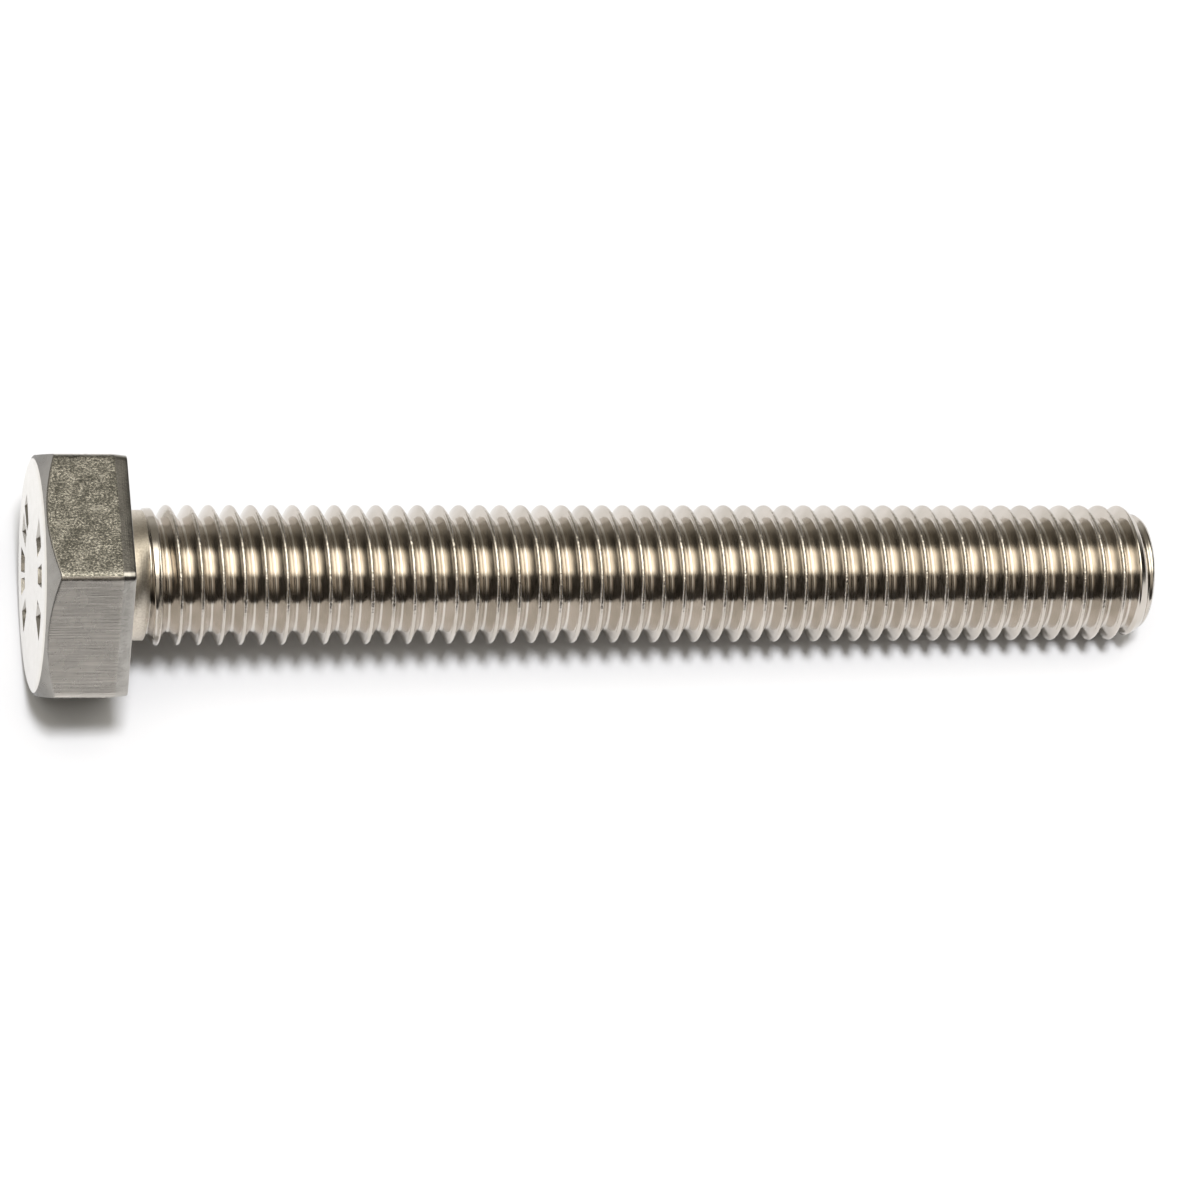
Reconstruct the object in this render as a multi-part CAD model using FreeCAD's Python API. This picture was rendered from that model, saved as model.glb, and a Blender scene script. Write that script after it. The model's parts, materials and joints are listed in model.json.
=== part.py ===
"""Hexagon head bolt, M10 x 1.5, fully threaded: one forging with a rolled thread.

The bolt lies along X. Its origin is the centre of the bearing face under the head:
the head is on the -X side, and the shank runs towards +X to the tip. +Z is square
to one pair of wrench flats.
"""
import FreeCAD, Part
import math
import os

from FreeCAD import Vector

# Driving dimensions, in millimetres and degrees.
PITCH = 1.5
MAJOR_DIAMETER = 9.88
ROOT_DIAMETER = 8.12
NECK_DIAMETER = 9.0
SHANK_LENGTH = 75.4

ACROSS_FLATS = 16.85
HEAD_HEIGHT = 6.1
CORNER_RADIUS = 0.6
TOP_FACE_DIAMETER = 16.0
TOP_CHAMFER_ANGLE = 30.0
TOP_EDGE_RADIUS = 0.5
BEVEL_LENGTH = 1.0
BEVEL_DEPTH = 0.12
NECK_FILLET = 0.4

# Where the thread starts: a crest crosses the +Y side at this distance from the
# bearing face. The rolling dies leave their first turn shallow.
CREST_PHASE = 3.22
NECK_END = 1.3
FULL_CREST_START = 3.1
RUNOUT_RISE = 0.54
RUNOUT_TURNS = 1.1
RUNOUT_STEP = 0.01

THREAD_FLANK_ANGLE = 30.0
CREST_FLAT = PITCH / 7.0
ROOT_ROUNDING = 0.06
TIP_CHAMFER_LENGTH = 1.6
TIP_DIAMETER = 8.0
TIP_EDGE_RADIUS = 0.35

SECTORS = 12
SECTOR_START = 15.0
SEAM_ANGLE = -80.0
MARGIN = 0.5

X_AXIS = Vector(1, 0, 0)
ORIGIN = Vector(0, 0, 0)


def on_ring(x, radius, degrees):
    """A point at x along the axis, at an angle from +Y towards +Z."""
    angle = math.radians(degrees)
    return Vector(x, radius * math.cos(angle), radius * math.sin(angle))


def rounded_hexagon(x, across_flats):
    """The hexagon's outline in the plane at x, flats facing +Z and -Z, corners rounded."""
    centre_radius = (across_flats / 2.0 - CORNER_RADIUS) / math.cos(math.radians(30.0))
    arcs = []
    for corner in range(6):
        middle = 60.0 * corner
        centre = on_ring(x, centre_radius, middle)
        offsets = [on_ring(0.0, CORNER_RADIUS, middle + turn) for turn in (-30.0, 0.0, 30.0)]
        arcs.append([centre + offset for offset in offsets])
    edges = []
    for corner in range(6):
        start, middle_point, end = arcs[corner]
        next_start = arcs[(corner + 1) % 6][0]
        edges.append(Part.Arc(start, middle_point, end).toShape())
        edges.append(Part.makeLine(end, next_start))
    return Part.Wire(edges)


def revolved(points_and_arcs):
    """A solid of revolution about X. Each entry is a point (x, r), or a middle point
    of an arc written as ("arc", x, r) between its two neighbours."""
    edges = []
    previous = None
    through = None
    for entry in points_and_arcs + [points_and_arcs[0]]:
        if entry[0] == "arc":
            through = Vector(entry[1], entry[2], 0)
            continue
        point = Vector(entry[0], entry[1], 0)
        if previous is not None and through is not None:
            edges.append(Part.Arc(previous, through, point).toShape())
        elif previous is not None:
            edges.append(Part.makeLine(previous, point))
        previous = point
        through = None
    solid = Part.Face(Part.Wire(edges)).revolve(ORIGIN, X_AXIS, 360)
    solid.rotate(ORIGIN, X_AXIS, SEAM_ANGLE)
    return solid


def rounded_corner(before, corner, after, radius):
    """The start, middle and end of an arc of that radius in a corner of an outline."""
    a = Vector(before[0] - corner[0], before[1] - corner[1], 0).normalize()
    b = Vector(after[0] - corner[0], after[1] - corner[1], 0).normalize()
    half = a.getAngle(b) / 2.0
    reach = radius / math.tan(half)
    centre_way = (a + b).normalize()
    point = Vector(corner[0], corner[1], 0)
    start = point + a * reach
    end = point + b * reach
    middle = point + centre_way * (radius / math.sin(half) - radius)
    return [(start.x, start.y), ("arc", middle.x, middle.y), (end.x, end.y)]


def head():
    """The hexagon with its bevelled bearing edge and the turned chamfer on its top."""
    body = Part.Face(rounded_hexagon(-HEAD_HEIGHT, ACROSS_FLATS))
    body = body.extrude(X_AXIS * (HEAD_HEIGHT - BEVEL_LENGTH))
    wide = rounded_hexagon(-BEVEL_LENGTH, ACROSS_FLATS)
    narrow = rounded_hexagon(0.0, ACROSS_FLATS - 2.0 * BEVEL_DEPTH)
    body = body.fuse(Part.makeLoft([wide, narrow], True, True))

    outside = ACROSS_FLATS
    top = -HEAD_HEIGHT
    slope = math.tan(math.radians(TOP_CHAMFER_ANGLE))
    rim = (top, TOP_FACE_DIAMETER / 2.0)
    foot = (top + (outside - rim[1]) * slope, outside)
    edge = rounded_corner((top, 0.0), rim, foot, TOP_EDGE_RADIUS)
    turned = revolved([(top, 0.0)] + edge + [foot, (MARGIN, outside), (MARGIN, 0.0)])
    return body.common(turned)


def shank_outline():
    """Everything inside the shank before threading: fillet, neck, crest and tip."""
    neck = NECK_DIAMETER / 2.0
    crest = MAJOR_DIAMETER / 2.0
    inside_head = -HEAD_HEIGHT / 2.0
    fillet_middle = NECK_FILLET * (1.0 - math.sqrt(0.5))
    fillet = [
        (0.0, neck + NECK_FILLET),
        ("arc", fillet_middle, neck + fillet_middle),
        (NECK_FILLET, neck),
    ]
    shoulder = (SHANK_LENGTH - TIP_CHAMFER_LENGTH, crest)
    rim = (SHANK_LENGTH, TIP_DIAMETER / 2.0)
    tip = rounded_corner(shoulder, rim, (SHANK_LENGTH, 0.0), TIP_EDGE_RADIUS)
    # The crest stands a little proud here, so that the sectored cylinder forms it.
    crest_line = [(FULL_CREST_START, crest), (FULL_CREST_START + MARGIN, crest + MARGIN)]
    crest_line += [(shoulder[0] - MARGIN, crest + MARGIN), shoulder]
    outline = [(inside_head, 0.0), (inside_head, neck + NECK_FILLET)] + fillet
    outline += [(NECK_END, neck)] + crest_line + tip + [(SHANK_LENGTH, 0.0)]
    return revolved(outline)


def crest_cylinder():
    """The crest's cylinder in equal sectors, so that no face of a crest winds far."""
    start = -HEAD_HEIGHT / 2.0
    radius = MAJOR_DIAMETER / 2.0
    step = 360.0 / SECTORS
    arcs = []
    for sector in range(SECTORS):
        turns = [SECTOR_START + step * (sector + part) for part in (0.0, 0.5, 1.0)]
        arcs.append(Part.Arc(*[on_ring(start, radius, turn) for turn in turns]).toShape())
    return Part.Face(Part.Wire(arcs)).extrude(X_AXIS * (SHANK_LENGTH + MARGIN - start))


def groove_section(x, root_radius):
    """The space between two ridges, in the plane of +Y, centred at x."""
    flank = math.tan(math.radians(THREAD_FLANK_ANGLE))
    crest = MAJOR_DIAMETER / 2.0
    outer = crest + MARGIN
    half_root = (PITCH - CREST_FLAT) / 2.0 - (crest - ROOT_DIAMETER / 2.0) * flank
    lift = root_radius - ROOT_DIAMETER / 2.0
    half_outer = half_root + (outer - ROOT_DIAMETER / 2.0) * flank
    left = Vector(x - half_outer, outer + lift, 0)
    right = Vector(x + half_outer, outer + lift, 0)
    root_left = Vector(x - half_root, root_radius, 0)
    root_right = Vector(x + half_root, root_radius, 0)
    bottom = Vector(x, root_radius - ROOT_ROUNDING, 0)
    edges = [Part.makeLine(left, root_left)]
    edges.append(Part.Arc(root_left, bottom, root_right).toShape())
    edges.append(Part.makeLine(root_right, right))
    edges.append(Part.makeLine(right, left))
    return Part.Wire(edges)


def swept_groove(x, length, root_radius, cone_angle):
    """A groove that starts over +Y at x and winds right-handed towards +X."""
    path = Part.makeLongHelix(PITCH, length, root_radius, cone_angle, False)
    # The helix is made about Z and starts over +X: turn it to run along X from +Y.
    turn = FreeCAD.Rotation(Vector(0, 1, 0), Vector(0, 0, 1), Vector(1, 0, 0), "ZXY")
    path.Placement = FreeCAD.Placement(Vector(x, 0, 0), turn)
    sweep = Part.BRepOffsetAPI.MakePipeShell(path)
    sweep.setFrenetMode(True)
    sweep.add(groove_section(x, root_radius))
    sweep.build()
    sweep.makeSolid()
    return sweep.shape()


def thread_grooves():
    """The full groove from the end of the run-out to past the tip, and the run-out."""
    groove_phase = (CREST_PHASE + PITCH / 2.0) % PITCH
    full_start = groove_phase + PITCH
    turns = math.ceil((SHANK_LENGTH - full_start) / PITCH) + 1
    root = ROOT_DIAMETER / 2.0
    full = swept_groove(full_start, turns * PITCH, root, 0.0)
    # The run-out ends inside the full groove, a hair above its root.
    runout_length = RUNOUT_TURNS * PITCH
    fall = math.atan2(RUNOUT_RISE - RUNOUT_STEP, runout_length)
    runout = swept_groove(groove_phase, runout_length, root + RUNOUT_RISE, -math.degrees(fall))
    return [full, runout]


def hex_bolt():
    shank = crest_cylinder().common(shank_outline())
    for groove in thread_grooves():
        shank = shank.cut(groove)
    bolt = head().fuse(shank)
    solids = bolt.Solids
    assert len(solids) == 1, "the bolt must be one solid"
    assert solids[0].isValid()
    return solids[0]


os.makedirs("parts", exist_ok=True)
bolt = hex_bolt()
bolt.exportStep("parts/hex_bolt.step")
print("hex_bolt: %d faces, %.1f cubic millimetres" % (len(bolt.Faces), bolt.Volume))
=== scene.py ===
"""Looks of the M10 hexagon head bolt: one forging of bright stainless steel.

One closed mesh stands for the CAD solid: a head of rings around the axis, and a shank
whose rows wind with the thread, so that every crest and root is a line of vertices.
Shapes are worked out in millimetres and turned into metres as the mesh is made.
"""
import json
import math

import bmesh
import bpy
import numpy as np
from mathutils import Matrix, Vector


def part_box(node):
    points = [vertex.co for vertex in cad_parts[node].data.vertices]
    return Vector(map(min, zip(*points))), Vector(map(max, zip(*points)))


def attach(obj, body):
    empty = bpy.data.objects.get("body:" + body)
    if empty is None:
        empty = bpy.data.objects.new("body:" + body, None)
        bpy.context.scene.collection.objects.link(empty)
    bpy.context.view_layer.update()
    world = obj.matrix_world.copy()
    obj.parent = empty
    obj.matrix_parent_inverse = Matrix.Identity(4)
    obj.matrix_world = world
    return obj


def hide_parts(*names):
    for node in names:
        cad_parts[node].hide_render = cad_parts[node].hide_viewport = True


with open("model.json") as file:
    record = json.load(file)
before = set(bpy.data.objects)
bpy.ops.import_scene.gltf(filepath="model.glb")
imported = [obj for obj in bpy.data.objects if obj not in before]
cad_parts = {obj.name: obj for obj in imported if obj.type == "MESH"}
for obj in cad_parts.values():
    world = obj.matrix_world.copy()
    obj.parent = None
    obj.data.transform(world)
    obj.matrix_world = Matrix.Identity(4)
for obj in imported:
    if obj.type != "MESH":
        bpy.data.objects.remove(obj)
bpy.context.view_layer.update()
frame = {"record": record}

MM = 0.001
NODE = "hex_bolt"
low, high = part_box(NODE)
mounts = {mount["name"]: mount for mount in frame["record"]["mounts"]}

# Sizes of the bolt in millimetres: the large ones from the CAD model, the fine ones
# from the same drawing.
SHANK_LENGTH = high.x / MM
HEAD_HEIGHT = -low.x / MM
ACROSS_FLATS = (high.z - low.z) / MM
CREST = mounts["thread"]["dims"]["r_mm"]
PITCH = 1.5
ROOT = 4.026
ROOT_ROUNDING = 0.20
CREST_HALF_FLAT = PITCH / 14.0
FLANK_SLOPE = 1.0 / math.tan(math.radians(30.0))
# Where a crest crosses the +Y side, from the bearing face.
CREST_PHASE = 3.22

NECK = 4.58
NECK_FILLET = 0.4
# The rolling dies start here. The first crest is low and the first groove shallow.
DIE_EDGE = 1.62
DIE_EDGE_WIDTH = 0.09
LOW_CREST_START = 4.70
LOW_CREST = 4.75
LOW_CREST_END = 2.2
FULL_CREST_START = 2.75
FULL_CREST_SPARE = 0.1
RUNOUT_RISE = 0.12
RUNOUT_FADE = 0.5
CREST_EDGE_ROUNDING = 0.05

CORNER_RADIUS = 0.6
TOP_CIRCLE = 8.0
TOP_SLOPE = math.tan(math.radians(30.0))
BEVEL_LENGTH = 1.0
BEVEL_DEPTH = 0.12
# How far the rounding reaches from each edge of the head.
TOP_EDGE = 0.22
FLAT_TOP_EDGE = 0.09
BEVEL_EDGE = 0.12
RIM_EDGE = 0.10
# Rings that only divide a flat face: inside the top's edge, and on the bearing face.
TOP_INNER_STEP = 0.8
SEAT_RING = 7.2
FILLET_MARGIN = 0.3

TIP_CHAMFER_LENGTH = 1.6
TIP_RADIUS = 4.0
TIP_EDGE_RADIUS = 0.35
TIP_DISH = 0.22

SECTOR_COLUMNS = 18
COLUMNS = 6 * SECTOR_COLUMNS
LEVEL_RINGS = 13
FILLET_STEPS = 6
TIP_STEPS = 4


# ---------------------------------------------------------------- shapes

def hexagon_radius(angles, across_flats):
    """Distance from the axis to the rounded hexagon, whose corners are at 0, 60, ..."""
    turn = (np.degrees(angles) + 30.0) % 60.0 - 30.0
    turn = np.radians(np.abs(turn))
    centre = (across_flats / 2.0 - CORNER_RADIUS) / math.cos(math.radians(30.0))
    tangent = corner_half_angle(across_flats)
    flat = across_flats / 2.0 / np.cos(math.radians(30.0) - turn)
    inside = np.maximum(CORNER_RADIUS**2 - (centre * np.sin(turn)) ** 2, 0.0)
    arc = centre * np.cos(turn) + np.sqrt(inside)
    return np.where(turn < tangent, arc, flat)


def corner_half_angle(across_flats):
    """Half the angle that a rounded corner takes, seen from the axis."""
    cosine = math.cos(math.radians(30.0))
    centre = (across_flats / 2.0 - CORNER_RADIUS) / cosine
    return math.atan2(CORNER_RADIUS * 0.5, centre + CORNER_RADIUS * cosine)


def hexagon_columns():
    """Angles of the head's columns: close together on the corners, wide on the flats."""
    edge = corner_half_angle(ACROSS_FLATS)
    sixth = math.radians(60.0)
    steps = SECTOR_COLUMNS - 6
    margin = math.radians(0.5)
    inner = np.linspace(edge + margin, sixth - edge - margin, steps - 1)
    corner = [0.0, edge / 3.0, edge * 2.0 / 3.0, edge]
    before_next = [sixth - edge, sixth - edge * 2.0 / 3.0, sixth - edge / 3.0]
    sector = np.concatenate([corner, inner, before_next])
    return np.concatenate([sector + sixth * k for k in range(6)])


EVEN = np.arange(COLUMNS) * (2.0 * math.pi / COLUMNS)
HEX = hexagon_columns()


def ring(x, radius, angles):
    """One ring of points around the axis. x and radius may differ from column to column."""
    x = np.broadcast_to(np.asarray(x, float), angles.shape)
    radius = np.broadcast_to(np.asarray(radius, float), angles.shape)
    return np.stack([x, radius * np.cos(angles), radius * np.sin(angles)], axis=1)


def rounded(before, corner, after, size, steps=3):
    """Rings that round an edge off, from size before the edge to size after it."""
    def toward(other):
        way = other - corner
        return corner + way * (size / np.linalg.norm(way, axis=1, keepdims=True))
    start, end = toward(before), toward(after)
    rings = []
    for step in range(steps + 1):
        t = step / steps
        rings.append(start * (1 - t) ** 2 + corner * 2 * t * (1 - t) + end * t**2)
    return rings


def soft_min(a, b, reach):
    """The smaller of two heights, with the crease between them rounded off."""
    h = np.clip(0.5 + 0.5 * (b - a) / reach, 0.0, 1.0)
    return b + (a - b) * h - reach * h * (1.0 - h)


def thread_outline(distance):
    """Radius of the thread at a distance along the axis from the middle of a crest."""
    crest_round = CREST_HALF_FLAT / math.tan(math.radians(30.0))
    crest_end = CREST_HALF_FLAT * 1.5
    root_start = PITCH / 2.0 - ROOT_ROUNDING * math.sin(math.radians(60.0))
    middle = PITCH / 2.0 - distance
    on_crest = CREST - crest_round + np.sqrt(np.maximum(crest_round**2 - distance**2, 0.0))
    on_flank = CREST - (distance - CREST_HALF_FLAT) * FLANK_SLOPE
    in_root = np.sqrt(np.maximum(ROOT_ROUNDING**2 - middle**2, 0.0))
    in_root = ROOT + ROOT_ROUNDING - in_root
    outline = np.where(distance < crest_end, on_crest, on_flank)
    return np.where(distance > root_start, in_root, outline)


def shank_envelope(x):
    """How far out the crests reach: low beside the neck, and falling at the tip."""
    start = np.interp(
        x,
        [DIE_EDGE, LOW_CREST_END, FULL_CREST_START],
        [LOW_CREST_START, LOW_CREST, CREST + FULL_CREST_SPARE],
    )
    fall = (CREST - TIP_RADIUS) / TIP_CHAMFER_LENGTH
    end = TIP_RADIUS + (SHANK_LENGTH - x) * fall
    return np.minimum(start, end)


def shank_radius(x, angle):
    """Radius of the finished shank at a place along and around the axis."""
    along = (x - CREST_PHASE) / PITCH - angle / (2.0 * math.pi)
    distance = np.abs(along - np.round(along)) * PITCH
    lift = RUNOUT_RISE * np.clip((FULL_CREST_START - x) / RUNOUT_FADE, 0.0, 1.0)
    threaded = thread_outline(distance) + lift
    rolled = soft_min(threaded, shank_envelope(x), CREST_EDGE_ROUNDING)
    return np.where(x <= DIE_EDGE, NECK, rolled)


# ---------------------------------------------------------------- mesh

class MeshMaker:
    """Collects points and faces of one mesh, with a material for each face."""

    def __init__(self):
        self.points = []
        self.faces = []
        self.materials = []

    def add(self, points):
        """Adds points and returns their numbers in the mesh."""
        start = len(self.points)
        self.points.extend(map(tuple, points))
        return list(range(start, start + len(points)))

    def strip(self, first, second, material):
        """Faces between two rings of the same columns."""
        count = len(first)
        for j in range(count):
            k = (j + 1) % count
            self.faces.append((first[j], first[k], second[k], second[j]))
            self.materials.append(material(j) if callable(material) else material)

    def face(self, corners, material):
        """One face. Corners that fall together are taken once."""
        kept = [c for i, c in enumerate(corners) if c != corners[i - 1]]
        if len(kept) > 2:
            self.faces.append(tuple(kept))
            self.materials.append(material)


THREAD, NECK_METAL, BEARING, BEVEL, CHAMFER, TOP, END, MARK = range(8)
FIRST_FLAT = 8


def flat_of(column):
    """The material of the flat that a column of the head's side lies on."""
    return FIRST_FLAT + column // SECTOR_COLUMNS


# The rings of the head's top. The marks lie between the last two of them.
TOP_RINGS = (1.2, 2.6, 3.9, 6.2)
MARK_RING = 3
MARK_DEPTH = 0.26
MARK_SLOPE = 0.12
# Stamped marks, plain bars that stand for the real ones: first column, columns.
MARKS = [
    (25, 4), (31, 10), (44, 4), (79, 3), (84, 2), (94, 3), (99, 3), (103, 10),
]


def stamp_marks(bm, strips):
    """Presses the marks into the head's top. Each has a sloping wall all round."""
    for start, count in MARKS:
        cells = [strips[MARK_RING - 1][(start + k) % COLUMNS] for k in range(count)]
        walls = bmesh.ops.inset_region(
            bm, faces=cells, thickness=MARK_SLOPE, use_even_offset=True
        )
        # The walls take the darker mark material: painted shade in the recesses.
        for face in walls["faces"]:
            face.material_index = MARK
            for edge in face.edges:
                edge.smooth = False
        for vert in {v for face in cells for v in face.verts}:
            vert.co.x += MARK_DEPTH


def head_rings():
    """Rings from the top's middle over the chamfer and flats to the neck."""
    top = -HEAD_HEIGHT
    outline = hexagon_radius(HEX, ACROSS_FLATS)
    narrow = hexagon_radius(HEX, ACROSS_FLATS - 2.0 * BEVEL_DEPTH)
    circle = ring(top, TOP_CIRCLE, HEX)
    shoulder = ring(top + (outline - TOP_CIRCLE) * TOP_SLOPE, outline, HEX)
    bevel = ring(-BEVEL_LENGTH, outline, HEX)
    rim = ring(0.0, narrow, HEX)
    seat = ring(0.0, SEAT_RING, HEX)
    top_inner = ring(top, TOP_CIRCLE - TOP_INNER_STEP, HEX)

    rings = []

    def put(new, material):
        rings.extend((one, material) for one in new)

    put([ring(top, r, HEX) for r in TOP_RINGS] + [top_inner], TOP)
    put(rounded(top_inner, circle, shoulder, TOP_EDGE), TOP)
    put(rounded(circle, shoulder, bevel, FLAT_TOP_EDGE), CHAMFER)
    put([shoulder + (bevel - shoulder) * t for t in (0.05, 0.5, 0.96)], "flat")
    put(rounded(shoulder, bevel, rim, BEVEL_EDGE), "flat")
    put([bevel + (rim - bevel) * 0.5], BEVEL)
    put(rounded(bevel, rim, seat, RIM_EDGE), BEVEL)
    put([seat, ring(0.0, NECK + NECK_FILLET + FILLET_MARGIN, EVEN)], BEARING)
    for step in range(FILLET_STEPS + 1):
        turn = math.radians(90.0 * step / FILLET_STEPS)
        x = NECK_FILLET * (1.0 - math.cos(turn))
        r = NECK + NECK_FILLET * (1.0 - math.sin(turn))
        put([ring(x, r, EVEN)], NECK_METAL)
    return rings


def build_head(maker):
    """Adds the head and returns its last ring, round the neck."""
    rings = head_rings()
    middle = maker.add([(-HEAD_HEIGHT, 0.0, 0.0)])[0]
    first = maker.add(rings[0][0])
    for j in range(COLUMNS):
        maker.faces.append((middle, first[(j + 1) % COLUMNS], first[j]))
        maker.materials.append(TOP)
    previous = first
    for points, material in rings[1:]:
        numbers = maker.add(points)
        maker.strip(previous, numbers, flat_of if material == "flat" else material)
        previous = numbers
    return previous


def row_offsets():
    """Places of one pitch's rows, from one root's middle over the crest to the next.

    They stand close together in the root and on the crest, where the outline bends.
    """
    half = [0.0, 0.05, 0.11, 0.173, 0.33, 0.48, 0.59, 0.66, 0.71]
    after = [PITCH - one for one in half[1:]]
    return np.array(half + [PITCH / 2.0] + after[::-1])


def build_shank(maker, neck_ring):
    """Adds the threaded shank. Its rows wind round the axis, one pitch a turn."""
    offsets = row_offsets()
    rows_per_turn = len(offsets)
    start = CREST_PHASE - PITCH * 0.5
    turns = int(math.ceil((SHANK_LENGTH - start) / PITCH)) + 1
    stations = np.concatenate([offsets + start + PITCH * n for n in range(turns)])

    grid = []
    for station in stations:
        x = station + PITCH * EVEN / (2.0 * math.pi)
        grid.append(maker.add(ring(x, shank_radius(x, EVEN), EVEN)))

    # Between winding rows. A row's end meets the start of the row one pitch on.
    for i in range(len(stations) - rows_per_turn - 1):
        for j in range(COLUMNS):
            if j + 1 < COLUMNS:
                a, b = grid[i][j + 1], grid[i + 1][j + 1]
            else:
                a, b = grid[i + rows_per_turn][0], grid[i + 1 + rows_per_turn][0]
            maker.face((grid[i][j], a, b, grid[i + 1][j]), THREAD)

    # Level rings, from the end of the plain neck to the middle of the first full root.
    level = maker.add(ring(DIE_EDGE, NECK, EVEN))
    maker.strip(neck_ring, level, NECK_METAL)
    for x in np.linspace(DIE_EDGE + DIE_EDGE_WIDTH, start, LEVEL_RINGS):
        after = maker.add(ring(x, shank_radius(x + 0.0 * EVEN, EVEN), EVEN))
        if x == start:
            after[0] = grid[0][0]
        maker.strip(level, after, THREAD)
        level = after

    # The wedge between the last level ring and the first winding row.
    wedge = [level]
    for k in range(1, rows_per_turn):
        share = (stations[k] - start) / PITCH
        x = start + share * PITCH * EVEN / (2.0 * math.pi)
        row = maker.add(ring(x, shank_radius(x, EVEN), EVEN)[1:])
        wedge.append([grid[0][0]] + row)
    wedge.append(grid[0])
    for k in range(rows_per_turn):
        for j in range(COLUMNS):
            if j + 1 < COLUMNS:
                a, b = wedge[k][j + 1], wedge[k + 1][j + 1]
            else:
                a, b = grid[k][0], grid[k + 1][0]
            maker.face((wedge[k][j], a, b, wedge[k + 1][j]), THREAD)


def close_tip(bm):
    """Cuts the shank to length and closes it with a rounded edge and a dished end."""
    fall = math.atan2(CREST - TIP_RADIUS, TIP_CHAMFER_LENGTH)
    reach = TIP_EDGE_RADIUS * math.tan((math.pi / 2.0 - fall) / 2.0)
    cut_x = SHANK_LENGTH - reach * math.cos(fall)
    centre_x = SHANK_LENGTH - TIP_EDGE_RADIUS
    centre_r = TIP_RADIUS - reach
    everything = bm.verts[:] + bm.edges[:] + bm.faces[:]
    bmesh.ops.bisect_plane(
        bm, geom=everything, dist=1e-7,
        plane_co=(cut_x, 0, 0), plane_no=(1, 0, 0), clear_outer=True,
    )
    rings = []
    for step in range(1, TIP_STEPS + 1):
        turn = fall + (math.pi / 2.0 - fall) * step / TIP_STEPS
        x = centre_x + TIP_EDGE_RADIUS * math.sin(turn)
        rings.append((x, centre_r + TIP_EDGE_RADIUS * math.cos(turn)))
    for share in (0.97, 0.8, 0.55, 0.25):
        rings.append((SHANK_LENGTH - TIP_DISH * (1.0 - share**2), centre_r * share))
    edges = [e for e in bm.edges if e.is_boundary]
    for x, radius in rings:
        new = bmesh.ops.extrude_edge_only(bm, edges=edges)["geom"]
        for vert in (g for g in new if isinstance(g, bmesh.types.BMVert)):
            now = math.hypot(vert.co.y, vert.co.z)
            share = min(1.0, radius / now)
            vert.co = Vector((x, vert.co.y * share, vert.co.z * share))
        edges = [g for g in new if isinstance(g, bmesh.types.BMEdge) and g.is_boundary]
        for face in (g for g in new if isinstance(g, bmesh.types.BMFace)):
            face.material_index = END
    cap = bmesh.ops.edgeloop_fill(bm, edges=edges)["faces"]
    for face in cap:
        face.material_index = END
    bmesh.ops.poke(bm, faces=cap)


def build_bolt(materials):
    """The whole bolt as one closed mesh."""
    maker = MeshMaker()
    neck_ring = build_head(maker)
    build_shank(maker, neck_ring)
    mesh = bpy.data.meshes.new("stainless_hex_bolt")
    mesh.from_pydata(maker.points, [], maker.faces)
    mesh.polygons.foreach_set("material_index", maker.materials)
    bm = bmesh.new()
    bm.from_mesh(mesh)
    bm.faces.ensure_lookup_table()
    # The top's fan comes first, then its strips, ring by ring.
    strips = [
        [bm.faces[COLUMNS * (k + 1) + j] for j in range(COLUMNS)]
        for k in range(len(TOP_RINGS))
    ]
    stamp_marks(bm, strips)
    loose = [v for v in bm.verts if not v.link_faces]
    bmesh.ops.delete(bm, geom=loose, context="VERTS")
    close_tip(bm)
    bmesh.ops.recalc_face_normals(bm, faces=bm.faces[:])
    for face in bm.faces:
        face.smooth = True
    bmesh.ops.scale(bm, vec=(MM, MM, MM), verts=bm.verts[:])
    bm.to_mesh(mesh)
    bm.free()
    for material in materials:
        mesh.materials.append(material)
    piece = bpy.data.objects.new("stainless_hex_bolt", mesh)
    bpy.context.scene.collection.objects.link(piece)
    return piece


# ---------------------------------------------------------------- materials

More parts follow.
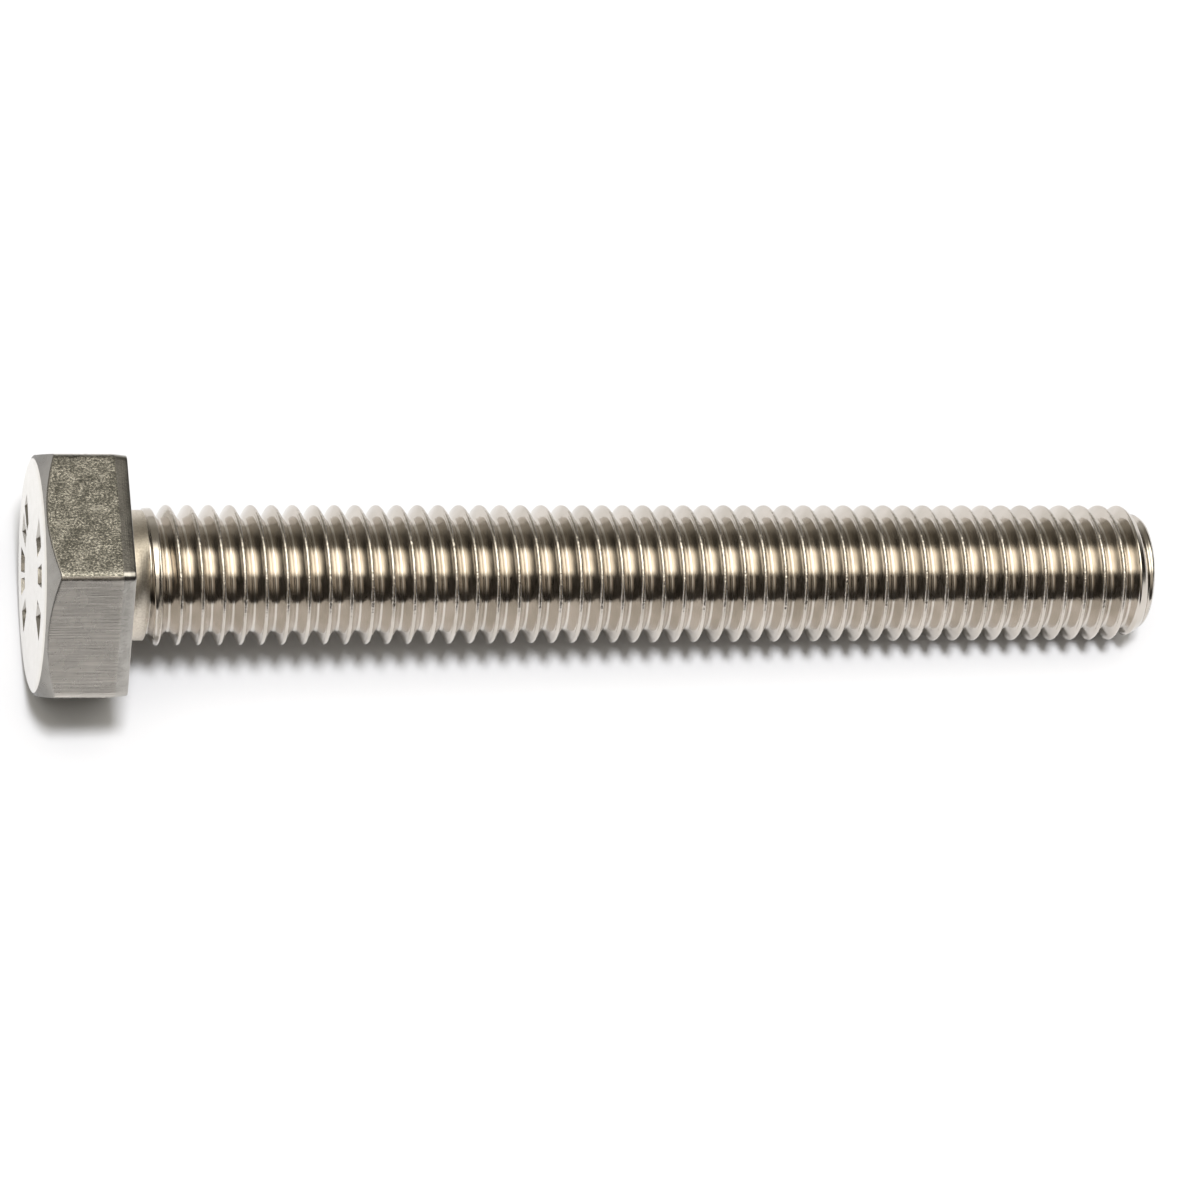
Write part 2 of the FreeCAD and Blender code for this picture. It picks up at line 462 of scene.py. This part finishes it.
class Nodes:
    """A material's node tree, with short calls for the nodes this script uses."""

    def __init__(self, name):
        self.material = bpy.data.materials.new(name)
        self.material.use_nodes = True
        self.tree = self.material.node_tree
        self.shader = self.tree.nodes["Principled BSDF"]
        coordinates = self.tree.nodes.new("ShaderNodeTexCoord")
        self.place = self.scaled(coordinates.outputs["Object"], (1.0 / MM,) * 3)

    def link(self, source, target):
        self.tree.links.new(source, target)

    def scaled(self, vector, scale):
        node = self.tree.nodes.new("ShaderNodeVectorMath")
        node.operation = "MULTIPLY"
        self.link(vector, node.inputs[0])
        node.inputs[1].default_value = scale
        return node.outputs[0]

    def around(self, along, across):
        """Coordinates that stay the same outwards from the axis: x, and the way out."""
        flat = self.scaled(self.place, (0.0, 1.0, 1.0))
        unit = self.tree.nodes.new("ShaderNodeVectorMath")
        unit.operation = "NORMALIZE"
        self.link(flat, unit.inputs[0])
        total = self.tree.nodes.new("ShaderNodeVectorMath")
        total.operation = "ADD"
        self.link(self.scaled(unit.outputs[0], (across,) * 3), total.inputs[0])
        self.link(self.scaled(self.place, (along, 0.0, 0.0)), total.inputs[1])
        return total.outputs[0]

    def from_axis(self):
        """Distance from the axis in millimetres."""
        node = self.tree.nodes.new("ShaderNodeVectorMath")
        node.operation = "LENGTH"
        self.link(self.scaled(self.place, (0.0, 1.0, 1.0)), node.inputs[0])
        return node.outputs["Value"]

    def noise(self, vector, scale, detail=4.0, roughness=0.6):
        node = self.tree.nodes.new("ShaderNodeTexNoise")
        self.link(vector, node.inputs["Vector"])
        node.inputs["Scale"].default_value = scale
        node.inputs["Detail"].default_value = detail
        node.inputs["Roughness"].default_value = roughness
        return node.outputs["Fac"]

    def spread(self, value, low_in, high_in, low_out=0.0, high_out=1.0):
        """Stretches a range of a value to another range, and stops at its ends."""
        node = self.tree.nodes.new("ShaderNodeMapRange")
        self.link(value, node.inputs["Value"])
        for name, number in (("From Min", low_in), ("From Max", high_in),
                             ("To Min", low_out), ("To Max", high_out)):
            node.inputs[name].default_value = number
        return node.outputs["Result"]

    def blend(self, factor, first, second):
        """A colour between two constant colours."""
        node = self.tree.nodes.new("ShaderNodeMix")
        node.data_type = "RGBA"
        self.link(factor, node.inputs["Factor"])
        for socket, colour in (("A", first), ("B", second)):
            named = [i for i in node.inputs if i.name == socket and i.type == "RGBA"]
            named[0].default_value = (*colour, 1.0)
        return [o for o in node.outputs if o.type == "RGBA"][0]

    def multiply(self, first, second):
        node = self.tree.nodes.new("ShaderNodeMath")
        node.operation = "MULTIPLY"
        self.link(first, node.inputs[0])
        self.link(second, node.inputs[1])
        return node.outputs[0]

    def bump(self, height, depth_mm, strength=1.0, under=None):
        node = self.tree.nodes.new("ShaderNodeBump")
        self.link(height, node.inputs["Height"])
        node.inputs["Distance"].default_value = depth_mm * MM
        node.inputs["Strength"].default_value = strength
        if under is not None:
            self.link(under, node.inputs["Normal"])
        return node.outputs["Normal"]

    def finish(self, colour, roughness, normal, grazing=1.0):
        """The finished metal. Grazing is how bright it stays seen along the surface."""
        self.shader.inputs["Metallic"].default_value = 1.0
        tint = (grazing, grazing, grazing, 1.0)
        self.shader.inputs["Specular Tint"].default_value = tint
        self.link(colour, self.shader.inputs["Base Color"])
        self.link(roughness, self.shader.inputs["Roughness"])
        self.link(normal, self.shader.inputs["Normal"])
        return self.material


# Two shades of each finish.
ROLLED = (0.645, 0.598, 0.543), (0.535, 0.492, 0.436)
NECK_SHADES = (0.55, 0.49, 0.41), (0.72, 0.66, 0.57)
# The torn flats' dark ground is painted shade for the dark they reflect; their bright
# grains are their own.
TORN_GRAIN_AND_PAINTED_SHADE = (0.11, 0.106, 0.09), (0.55, 0.525, 0.465)
WIPED = (0.385, 0.366, 0.335), (0.6, 0.565, 0.52)
TURNED = (0.71, 0.685, 0.64), (0.65, 0.625, 0.58)


def rolled_metal(name):
    """The rolled thread: bright, with marks round the shank and beads on its crests."""
    n = Nodes(name)
    lines = n.noise(n.around(9.0, 6.0), 1.0, 3.0)
    beads = n.noise(n.place, 3.2, 3.0, 0.7)
    patches = n.noise(n.place, 0.35, 2.0)
    on_crest = n.spread(n.from_axis(), CREST - 0.12, CREST - 0.02)
    colour = n.blend(n.spread(patches, 0.35, 0.65), *ROLLED)
    roughness = n.spread(lines, 0.3, 0.7, 0.10, 0.19)
    normal = n.bump(lines, 0.004)
    normal = n.bump(n.multiply(beads, on_crest), 0.05, under=normal)
    return n.finish(colour, roughness, normal)


def neck_metal(name):
    """The plain neck: matt and rough from the forging, with rings round it."""
    n = Nodes(name)
    rings = n.noise(n.around(12.0, 1.5), 1.0, 3.0)
    grain = n.noise(n.place, 7.0, 4.0, 0.7)
    colour = n.blend(n.spread(grain, 0.35, 0.65), *NECK_SHADES)
    roughness = n.spread(rings, 0.3, 0.7, 0.3, 0.42)
    normal = n.bump(rings, 0.012)
    normal = n.bump(grain, 0.012, under=normal)
    return n.finish(colour, roughness, normal)


def sheared_metal_painted_shade(name):
    """A flat torn by the trimming die: fine bright grains in a ground darkened by painted
    shade.
    """
    n = Nodes(name)
    grain = n.noise(n.scaled(n.place, (0.85, 1.0, 1.0)), 7.5, 4.0, 0.75)
    patches = n.noise(n.place, 1.1, 2.0)
    both = n.multiply(grain, n.spread(patches, 0.2, 0.8, 0.82, 1.18))
    colour = n.blend(n.spread(both, 0.42, 0.66), *TORN_GRAIN_AND_PAINTED_SHADE)
    roughness = n.spread(patches, 0.3, 0.7, 0.2, 0.28)
    normal = n.bump(grain, 0.035)
    return n.finish(colour, roughness, normal)


def drawn_metal(name):
    """A flat wiped smooth by the die: fine lines along the bolt."""
    n = Nodes(name)
    lines = n.noise(n.scaled(n.place, (0.16, 5.0, 5.0)), 1.5, 4.0, 0.65)
    patches = n.noise(n.place, 0.8, 2.0)
    fade = n.multiply(lines, n.spread(patches, 0.3, 0.7, 0.85, 1.15))
    colour = n.blend(n.spread(fade, 0.3, 0.68), *WIPED)
    roughness = n.spread(patches, 0.3, 0.7, 0.22, 0.32)
    normal = n.bump(lines, 0.006)
    return n.finish(colour, roughness, normal)


def turned_metal(
    name, painted_shading=1.0, depth_mm=0.003, smooth=0.2, rough=0.3, grazing=0.8
):
    """A turned face: fine rings about the axis, a little uneven.

    Its roughness lies between smooth and rough, and its lines are depth_mm deep.
    """
    n = Nodes(name)
    cloud = n.noise(n.place, 1.0, 3.0)
    rings = n.noise(n.around(14.0, 1.2), 1.0, 2.0)
    specks = n.noise(n.place, 6.0, 2.0)
    # The colour scale is painted light above 1 and painted shade below 1.
    colours_with_painted_shading = [tuple(painted_shading * part for part in colour) for colour in TURNED]
    colour = n.blend(n.spread(cloud, 0.3, 0.7), *colours_with_painted_shading)
    roughness = n.spread(cloud, 0.3, 0.7, smooth, rough)
    normal = n.bump(rings, depth_mm)
    normal = n.bump(specks, depth_mm, under=normal)
    return n.finish(colour, roughness, normal, grazing)


def all_materials():
    """In the order of the material numbers above."""
    made = [
        rolled_metal("rolled_thread"),
        neck_metal("forged_neck"),
        turned_metal("bearing_face"),
        # Painted shade darkens the bevel, the chamfer and the marks' walls; painted light
        # brightens the top.
        turned_metal("bevelled_edge", 0.62, 0.006, 0.14, 0.24),
        turned_metal("turned_chamfer", 0.52, grazing=0.5),
        turned_metal("head_top", 1.1, 0.003, 0.12, 0.2, grazing=1.0),
        turned_metal("shank_end", 0.95, 0.01),
        turned_metal("stamped_mark", 0.75, 0.01, grazing=0.6),
    ]
    sheared_painted_shade, drawn = sheared_metal_painted_shade("sheared_flat_painted_shade"), drawn_metal("drawn_flat")
    # The flats between the corners at 0, 60, ... 300 degrees from +Y.
    # The sheared ones, the top flat among them, are dark with painted shade.
    made += [drawn, sheared_painted_shade, drawn, sheared_painted_shade, drawn, sheared_painted_shade]
    return made


# ---------------------------------------------------------------- stage

# The table's rise towards the tip, so that head and tip both touch it.
SPAN = SHANK_LENGTH - TIP_CHAMFER_LENGTH + BEVEL_LENGTH
FLOOR_TILT = (ACROSS_FLATS / 2.0 - CREST) / SPAN
TABLE_HALF_M = 3.0

# Light of the tent, panel by panel: where it rises and falls round and aside, in
# degrees, and its colour. None is a panel that goes from side to side.
PANELS = [
    ((54, 70), (123, 98), (-54, -22), (50, 14), (2.98, 2.87, 2.58)),
    ((14, 44), (72, 60), (-90, -60), (22, 4), (0.56, 0.51, 0.44)),
    ((84, 118), (190, 185), (-90, -60), (40, 4), (0.21, 0.198, 0.17)),
    ((145, 170), (190, 185), None, None, (0.3, 0.3, 0.29)),
    ((-5, 2), (200, 190), None, None, (0.03, 0.027, 0.024)),
]


def make_floor():
    """The table. The bolt lies on one flat of its head and on the crest at its tip."""
    material = bpy.data.materials.new("white_table")
    material.use_nodes = True
    shader = material.node_tree.nodes["Principled BSDF"]
    shader.inputs["Base Color"].default_value = (0.47, 0.474, 0.49, 1.0)
    shader.inputs["Roughness"].default_value = 0.9
    shader.inputs["Specular IOR Level"].default_value = 0.1
    mesh = bpy.data.meshes.new("table")
    size = TABLE_HALF_M
    corners = [(-size, -size), (size, -size), (size, size), (-size, size)]
    touch_x, touch_z = -BEVEL_LENGTH * MM, -ACROSS_FLATS / 2.0 * MM
    points = [(x, y, touch_z + (x - touch_x) * FLOOR_TILT) for x, y in corners]
    mesh.from_pydata(points, [], [(0, 1, 2, 3)])
    mesh.materials.append(material)
    floor = bpy.data.objects.new("table", mesh)
    bpy.context.scene.collection.objects.link(floor)


def make_world():
    """A light tent: a soft panel overhead, dark gaps around it and paler walls."""
    world = bpy.data.worlds.new("light_tent")
    bpy.context.scene.world = world
    world.use_nodes = True
    tree = world.node_tree
    nodes, links = tree.nodes, tree.links
    coordinates = nodes.new("ShaderNodeTexCoord")
    split = nodes.new("ShaderNodeSeparateXYZ")
    links.new(coordinates.outputs["Generated"], split.inputs[0])

    def calculate(operation, first, second=None):
        node = nodes.new("ShaderNodeMath")
        node.operation = operation
        for socket, value in zip(node.inputs, (first, second)):
            if isinstance(value, (int, float)):
                socket.default_value = value
            elif value is not None:
                links.new(value, socket)
        return node.outputs[0]

    # Round: degrees from the front horizon over the zenith to the back horizon.
    # Aside: degrees toward the bolt's tip.
    forward = calculate("MULTIPLY", split.outputs["Y"], -1.0)
    round_ = calculate("ARCTAN2", split.outputs["Z"], forward)
    round_ = calculate("MULTIPLY", round_, 180.0 / math.pi)
    aside = calculate("ARCSINE", split.outputs["X"])
    aside = calculate("MULTIPLY", aside, 180.0 / math.pi)

    def step(value, start, end):
        node = nodes.new("ShaderNodeMapRange")
        node.interpolation_type = "SMOOTHSTEP"
        links.new(value, node.inputs["Value"])
        node.inputs["From Min"].default_value = start
        node.inputs["From Max"].default_value = end
        return node.outputs["Result"]

    total = None
    for rise, fall, aside_rise, aside_fall, colour in PANELS:
        share = calculate("MULTIPLY", step(round_, *rise), step(round_, *fall))
        if aside_rise:
            across = calculate(
                "MULTIPLY", step(aside, *aside_rise), step(aside, *aside_fall)
            )
            share = calculate("MULTIPLY", share, across)
        glow = nodes.new("ShaderNodeVectorMath")
        glow.operation = "SCALE"
        glow.inputs[0].default_value = colour
        links.new(share, glow.inputs["Scale"])
        if total is None:
            total = glow.outputs[0]
        else:
            add = nodes.new("ShaderNodeVectorMath")
            add.operation = "ADD"
            links.new(total, add.inputs[0])
            links.new(glow.outputs[0], add.inputs[1])
            total = add.outputs[0]
    links.new(total, nodes["Background"].inputs["Color"])


def make_lamp(name, place_mm, target_mm, size_mm, power, colour):
    """A square soft lamp that lights the table but isn't mirrored in the steel."""
    data = bpy.data.lights.new(name, "AREA")
    data.size = size_mm * MM
    data.energy = power
    data.color = colour
    lamp = bpy.data.objects.new(name, data)
    lamp.location = Vector(place_mm) * MM
    way = (Vector(target_mm) - Vector(place_mm)).normalized()
    lamp.rotation_euler = way.to_track_quat("-Z", "Y").to_euler()
    lamp.visible_glossy = False
    bpy.context.scene.collection.objects.link(lamp)


# The lamp over the table, a little to the front and toward the head.
LAMP_PLACE = (-60, -205, 985)
LAMP_TARGET = (30, 0, 0)
LAMP_SIZE = 150
LAMP_POWER = 14.0
LAMP_COLOUR = (0.985, 0.987, 1.0)

# Where the camera stands and looks, in millimetres, and its lens.
CAMERA_PLACE = Vector((-45.2, -165.2, 291.2))
CAMERA_TARGET = Vector((35.5, 0.0, -3.83))
CAMERA_LENS = 143.9
CAMERA_TILT = math.radians(0.24)


def make_camera():
    """A camera over the bolt's side, turned so that the bolt lies level in its view."""
    data = bpy.data.cameras.new("camera")
    data.lens = CAMERA_LENS
    data.sensor_width = 36.0
    data.clip_start = 0.01
    data.clip_end = 50.0
    camera = bpy.data.objects.new("camera", data)
    ahead = (CAMERA_TARGET - CAMERA_PLACE).normalized()
    up = Vector((1.0, 0.0, 0.0)).cross(ahead).normalized()
    right = ahead.cross(up)
    axes = Matrix((right, up, -ahead)).transposed().to_4x4()
    roll = Matrix.Rotation(CAMERA_TILT, 4, ahead)
    camera.matrix_world = Matrix.Translation(CAMERA_PLACE * MM) @ roll @ axes
    bpy.context.scene.collection.objects.link(camera)
    bpy.context.scene.camera = camera


make_camera()
make_world()
make_floor()
make_lamp("table_light", LAMP_PLACE, LAMP_TARGET, LAMP_SIZE, LAMP_POWER, LAMP_COLOUR)
bpy.context.scene.view_settings.view_transform = "Standard"

bolt = build_bolt(all_materials())
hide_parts(NODE)
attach(bolt, "root")
